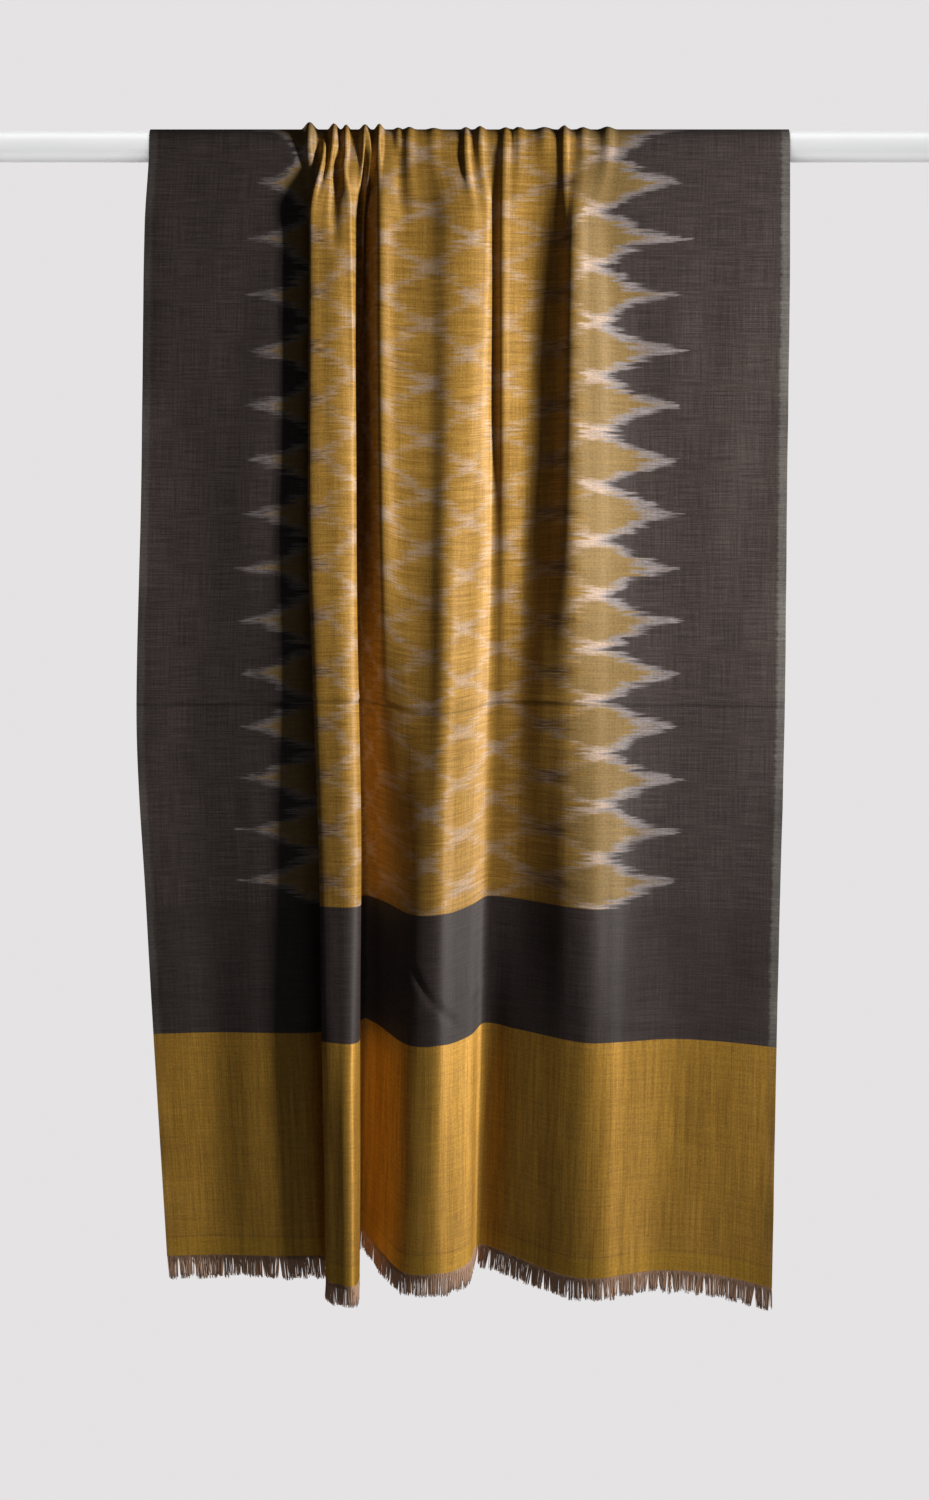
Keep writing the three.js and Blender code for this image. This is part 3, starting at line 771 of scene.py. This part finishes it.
def lattice(graph, flat, along):
    """The ikat figure, as five masks: its pale lines, where those are grey, its gold ground, the
    brown smears in the teeth, and where the ground is khaki."""
    dyed, slip = dyed_bundles(graph, flat, along)
    sway = 3.0 * graph.noise(flat / 70.0, along / 60.0, turn=9.0)
    column, border = lattice_columns(graph, flat + slip + sway)
    inside = graph.math("LESS_THAN", border, 1.0)

    bow = 11.0 * graph.math("SINE", along * (math.pi / 720.0))
    wander = 2.4 * graph.noise(flat / 50.0, along / 55.0, turn=2.0)
    place = along * 0.3 + dyed * 0.7
    level = (place - bow + wander - FIRST_TIP) / PERIOD
    off_tip = absolute(graph.math("FRACT", level + 0.5) - 0.5)
    curved = (1.0 - graph.math("COSINE", column * math.pi)) * 0.25
    straight = graph.math("PINGPONG", column, 1.0) * 0.5
    rise = (curved * 0.6 + straight * 0.4) * inside
    gap = (off_tip - rise) * PERIOD

    dashes = graph.noise(flat / 13.0, along / 1.1, turn=17.0)
    patches = graph.noise(flat / 27.0, along / 21.0, turn=18.0)
    left_painted_shade = graph.ease(column, 1.6, 0.4)  # painted shade: the pale lines of the left teeth are dimmed, as that side lies in shade
    tooth = graph.ease(border, -0.05, 0.3)
    beyond = greater(border - 1.0, 0.0)
    width = greater(8.2 - 1.6 * tooth + 1.6 * patches - beyond * 20.0, 0.01)
    line = graph.ease(absolute(gap), width, width * (0.05 + 0.25 * tooth))
    line = line * graph.ease(beyond, 0.4, 0.3)
    strength = 0.28 + 0.42 * tooth + 0.8 * dashes + 0.4 * patches - 0.3 * left_painted_shade

    whole = graph.math("ROUND", column, 0.0)
    cell = graph.noise(whole * 0.83, graph.math("FLOOR", level * 2.0 + 0.5) * 0.61, turn=21.0)
    aside = (column - whole) * (COLUMN / 14.0)
    near = aside * aside + gap * gap / 40.0
    at_border = graph.ease(absolute(border), 0.5, 0.35)
    inner = graph.ease(border, -1.4, -1.7)
    node = graph.ease(near, 1.3, 0.1) * (0.95 * at_border + (0.5 + 0.6 * cell) * inner)
    # painted shade dims the left teeth's nodes as well
    node = node * (1.0 + 0.7 * dashes) * (1.0 - 0.5 * left_painted_shade)
    pale = lesser(greater(greater(line * strength, node), 0.0), 0.97)

    in_tooth = graph.ease(gap, 1.5, -1.5) * inside
    ground = greater(in_tooth, graph.ease(border, 0.02, -0.02))

    smear = graph.ease(border, -1.2, -0.95) * graph.ease(border, -0.3, -0.75)
    smear = smear * graph.ease(off_tip, 0.2, 0.04)
    smear = smear * graph.ease(graph.noise(flat / 26.0, along / 1.6, turn=7.0), -0.5, 0.15)
    return pale, tooth, ground, smear, graph.ease(border, -0.85, -0.2)


def storage_shade(graph, flat, along):
    """Painted shade: a thin darker line along each fold that the shawl was stored with, in its
    crease.
    """
    sway = 1.2 * graph.noise(flat / 60.0, along / 200.0, turn=25.0)
    uneven_shade = 0.75 + 0.5 * graph.noise(flat / 40.0, along / 9.0, turn=26.0)
    shade = 1.0
    for place in STORAGE_FOLDS:
        line = graph.ease(absolute(along - place + sway), 2.2, 0.5)
        shade = shade - 0.42 * (line * uneven_shade)
    return shade


def cloth_material():
    graph = Graph("handwoven_ikat_silk")
    flat, along = graph.uv()
    weft = graph.noise(flat / 30.0, along / 1.1, 1.0, turn=11.0)
    weft_wide = graph.noise(flat / 55.0, along / 3.6, 1.0, turn=12.0)
    warp = graph.noise(flat / 1.1, along / 40.0, 1.0, turn=13.0)
    warp_wide = graph.noise(flat / 3.6, along / 120.0, 1.0, turn=14.0)
    mottle = graph.noise(flat / 2.4, along / 2.0, 2.0, turn=16.0)
    cloud = graph.noise(flat / 42.0, along / 60.0, 2.0, turn=15.0)

    pale, grey, ground, smear, khaki = lattice(graph, flat, along)
    edge = 0.5 * weft
    front_end = graph.ease(along + edge, FIELD_FRONT + 0.6, FIELD_FRONT - 0.6)
    back_end = graph.ease(along + edge, FIELD_BACK - 0.6, FIELD_BACK + 0.6)
    in_field = front_end * back_end
    front_edge, back_edge = FRONT_END - GOLD_BAND, BACK_END + GOLD_BAND
    front_band = graph.ease(along + 0.3 * edge, front_edge - 0.5, front_edge + 0.5)
    back_band = graph.ease(along + 0.3 * edge, back_edge + 0.5, back_edge - 0.5)
    gold_band = greater(front_band, back_band)

    taupe = graph.blend(graph.ease(weft + warp * 0.8, -0.8, 0.8), TAUPE_DARK, TAUPE)
    gold_mix = weft * 0.8 + weft_wide * 0.6 + warp * 0.5
    gold = graph.blend(graph.ease(gold_mix, -0.9, 0.8), GOLD_DEEP, GOLD)
    gold = graph.blend(khaki * 0.85, gold, KHAKI)
    gold = graph.blend(smear * 0.75, gold, BROWN)
    ikat = graph.blend(ground, taupe, gold)
    ikat = graph.blend(pale, ikat, graph.blend(grey, PALE, PALE_GREY))
    base = graph.blend(in_field, graph.blend(0.45, taupe, TAUPE_DARK), ikat)
    hem_mix = weft * 0.4 + weft_wide * 0.25 + warp * 0.8 + warp_wide * 0.6
    hem_gold = graph.blend(graph.ease(hem_mix, -1.0, 0.9), GOLD_HEM_DEEP, GOLD_HEM)
    to_end = lesser(FRONT_END - along, along - BACK_END)
    last = graph.ease(to_end + 1.5 * weft_wide, 17.5, 15.0)
    hem_gold = graph.blend(last * 0.35, hem_gold, GOLD_LAST)
    rib = graph.ease(absolute(to_end - 18.0 + 0.4 * weft_wide), 0.9, 0.3)
    base = graph.blend(gold_band, base, hem_gold)

    right_edge = graph.ease(flat + 2.0 * weft_wide, CLOTH_WIDTH - 9.0, CLOTH_WIDTH - 5.5)
    left_edge = graph.ease(flat + 2.0 * weft_wide, 9.0, 5.0)
    edge_mask = right_edge * 0.75 + left_edge * 0.35
    edge_mask = edge_mask * (1.0 - 0.8 * gold_band)
    base = graph.blend(edge_mask * (0.75 + 0.25 * weft), base, SELVEDGE)

    tone = 1.0 + (0.22 - 0.12 * gold_band) * weft + (0.12 - 0.07 * gold_band) * weft_wide
    tone = tone + (0.12 + 0.06 * gold_band) * warp + (0.08 + 0.06 * gold_band) * warp_wide
    tone = tone + 0.34 * mottle + 0.08 * cloud
    slub = graph.ease(graph.noise(flat / 4.5, along / 1.3, 0.0, turn=31.0), 0.58, 0.72)
    tone = tone * (1.0 - 0.35 * slub) * storage_shade(graph, flat, along) * (1.0 - 0.14 * rib)
    shade = graph.tree.nodes.new("ShaderNodeCombineColor")
    for target in shade.inputs[:3]:
        graph.feed(target, tone)
    base = graph.blend(1.0, base, Value(graph, shade.outputs[0]), "MULTIPLY")
    graph.put("Base Color", base)

    silk = greater(ground * in_field, gold_band)
    graph.put("Metallic", ground * in_field * 0.12 + gold_band * 0.38)
    roughness = 0.64 - 0.05 * silk - 0.05 * gold_band + 0.04 * weft_wide
    graph.put("Roughness", roughness)
    graph.put("Specular IOR Level", 0.45)
    graph.put("Anisotropic", 0.7)
    graph.put("Anisotropic Rotation", 0.25)  # weft shines up and down
    graph.put("Sheen Weight", 0.03)
    graph.put("Sheen Roughness", 0.45)
    tangent = graph.tree.nodes.new("ShaderNodeTangent")
    tangent.direction_type = "UV_MAP"
    tangent.uv_map = "flat"
    graph.put("Tangent", Value(graph, tangent.outputs[0]))

    height = 0.5 * weft + 0.12 * warp + 0.25 * weft_wide + 0.08 * warp_wide + 0.25 * mottle
    graph.put("Normal", graph.bump(height, 0.00012, 0.6))
    return graph.material


def fringe_material():
    graph = Graph("loose_warp_yarn")
    x, z = graph.x_and_z()
    tone = graph.noise(x / 1.4, z / 14.0, 2.0, turn=3.0)
    base = graph.blend(graph.ease(tone, -0.6, 0.6), colour(212, 166, 134), THREAD)
    graph.put("Base Color", base)
    graph.put("Roughness", 0.75)
    graph.put("Sheen Weight", 0.4)
    twist = graph.noise((x + z * 0.4) / 0.5, z / 0.9, 1.0, turn=6.0)
    graph.put("Normal", graph.bump(twist, 0.00005, 0.5))
    return graph.material


def rod_material():
    graph = Graph("satin_white_paint")
    x, z = graph.x_and_z()
    cloud = graph.noise(x / 90.0, z / 20.0, 2.0)
    peel = graph.noise(x / 1.6, z / 1.6, 2.0, turn=4.0)
    base = graph.blend(graph.ease(cloud, -0.8, 0.8), colour(205, 205, 206), colour(210, 210, 211))
    graph.put("Base Color", base)
    graph.put("Roughness", 0.42 + 0.03 * cloud)
    graph.put("Specular IOR Level", 0.4)
    graph.put("Normal", graph.bump(peel, 0.00004, 0.35))
    return graph.material


# ---- Studio ----------------------------------------------------------------------------------

BACKGROUND = colour(229, 227, 228)
CAMERA_DISTANCE = 2.7
VIEW_HEIGHT = 1.35
CAMERA_X = (PHOTO_MIDDLE_COLUMN - SHAWL_MIDDLE_COLUMN) * MM_PER_PIXEL * MM
CAMERA_Z = (ROD_AXIS_ROW - PHOTO_MIDDLE_ROW) * MM_PER_PIXEL * MM
CLOTH_FRONT = -CARRIER_RADIUS * MM
FLOOR_Z, FLOOR_RADIUS = -1.62, 1.2
KEY_TINT = (1.0, 0.985, 0.96)


def make_camera():
    data = bpy.data.cameras.new("camera")
    data.sensor_width = 36.0
    data.lens = data.sensor_width * CAMERA_DISTANCE / VIEW_HEIGHT
    camera = bpy.data.objects.new("camera", data)
    camera.location = (CAMERA_X, CLOTH_FRONT - CAMERA_DISTANCE, CAMERA_Z)
    camera.rotation_euler = (math.pi / 2, 0, 0)
    bpy.context.scene.collection.objects.link(camera)
    bpy.context.scene.camera = camera


def make_light(name, place, target, size, power, lit, fan=180.0, tint=(1, 1, 1)):
    """A rectangular lamp aimed at a point. lit is the set of pieces that it lights, and fan is
    the angle that its light spreads over."""
    data = bpy.data.lights.new(name, "AREA")
    data.shape = "RECTANGLE"
    data.size, data.size_y = size
    data.energy = power
    data.spread = math.radians(fan)
    data.color = tint
    light = bpy.data.objects.new(name, data)
    light.location = place
    way = Vector(target) - Vector(place)
    light.rotation_euler = way.to_track_quat("-Z", "Y").to_euler()
    light.light_linking.receiver_collection = lit
    bpy.context.scene.collection.objects.link(light)


def group_of(name, pieces):
    """A set of pieces that a lamp can be limited to."""
    group = bpy.data.collections.new(name)
    for piece in pieces:
        group.objects.link(piece)
    return group


def make_studio(cloth, fringes, rod):
    world = bpy.data.worlds.new("studio")
    bpy.context.scene.world = world
    world.use_nodes = True
    nodes, links = world.node_tree.nodes, world.node_tree.links
    nodes.clear()
    seen, lit = nodes.new("ShaderNodeBackground"), nodes.new("ShaderNodeBackground")
    seen.inputs["Color"].default_value = BACKGROUND
    lit.inputs["Color"].default_value = (1.0, 0.99, 0.98, 1.0)
    lit.inputs["Strength"].default_value = 0.02
    path, mix = nodes.new("ShaderNodeLightPath"), nodes.new("ShaderNodeMixShader")
    out = nodes.new("ShaderNodeOutputWorld")
    links.new(path.outputs["Is Camera Ray"], mix.inputs[0])
    links.new(lit.outputs[0], mix.inputs[1])
    links.new(seen.outputs[0], mix.inputs[2])
    links.new(mix.outputs[0], out.inputs[0])

    bpy.ops.mesh.primitive_circle_add(
        vertices=96, radius=FLOOR_RADIUS, fill_type="NGON", location=(0, 0, FLOOR_Z)
    )
    floor = bpy.context.object
    floor.name = "floor"
    graph = Graph("pale_floor")
    graph.put("Base Color", BACKGROUND)
    graph.put("Roughness", 0.9)
    floor.data.materials.append(graph.material)

    soft_goods = group_of("soft_goods", [cloth, *fringes])
    pole = group_of("pole", [rod])
    ground = group_of("ground", [floor])
    key_place, key_aim = (1.3, -0.62, -0.2), (0.0, 0.0, -0.3)
    make_light("key", key_place, key_aim, (0.17, 0.42), 7.8, soft_goods, 90.0, KEY_TINT)
    make_light("back", (-1.1, 1.0, 0.1), (0.0, 0.0, -0.45), (0.4, 0.6), 15.0, soft_goods)
    make_light("floor_wash", (0.0, 0.0, 1.6), (0.0, 0.0, FLOOR_Z), (3.0, 3.0), 45.0, ground)
    make_light("rod_front", (0.0, -1.3, 0.0), (0.0, 0.0, 0.0), (2.4, 1.6), 21.0, pole)
    make_light("rod_top", (0.0, -0.3, 1.1), (0.0, 0.0, 0.0), (2.4, 0.8), 24.0, pole)
    make_light("rod_back", (0.0, 1.3, 0.1), (0.0, 0.0, 0.0), (2.4, 1.6), 21.0, pole)
    make_light("rod_low", (0.0, -0.3, -1.1), (0.0, 0.0, 0.0), (2.4, 0.8), 14.0, pole)


def dress(piece, material):
    piece.data.materials.clear()
    piece.data.materials.append(material)


bpy.context.scene.view_settings.view_transform = "Standard"
make_camera()
cloth, cloth_surface, cloth_out = make_cloth()
front_fringe = make_fringe(
    "front_fringe", "fringe_front", cloth_surface[-1], cloth_out[-1], cloth_surface[-2], seed=21
)
back_fringe = make_fringe(
    "back_fringe", "fringe_back", cloth_surface[0], cloth_out[0], cloth_surface[1], seed=22
)
rod = make_rod()
dress(cloth, cloth_material())
yarn = fringe_material()
dress(front_fringe, yarn)
dress(back_fringe, yarn)
dress(rod, rod_material())
make_studio(cloth, [front_fringe, back_fringe], rod)
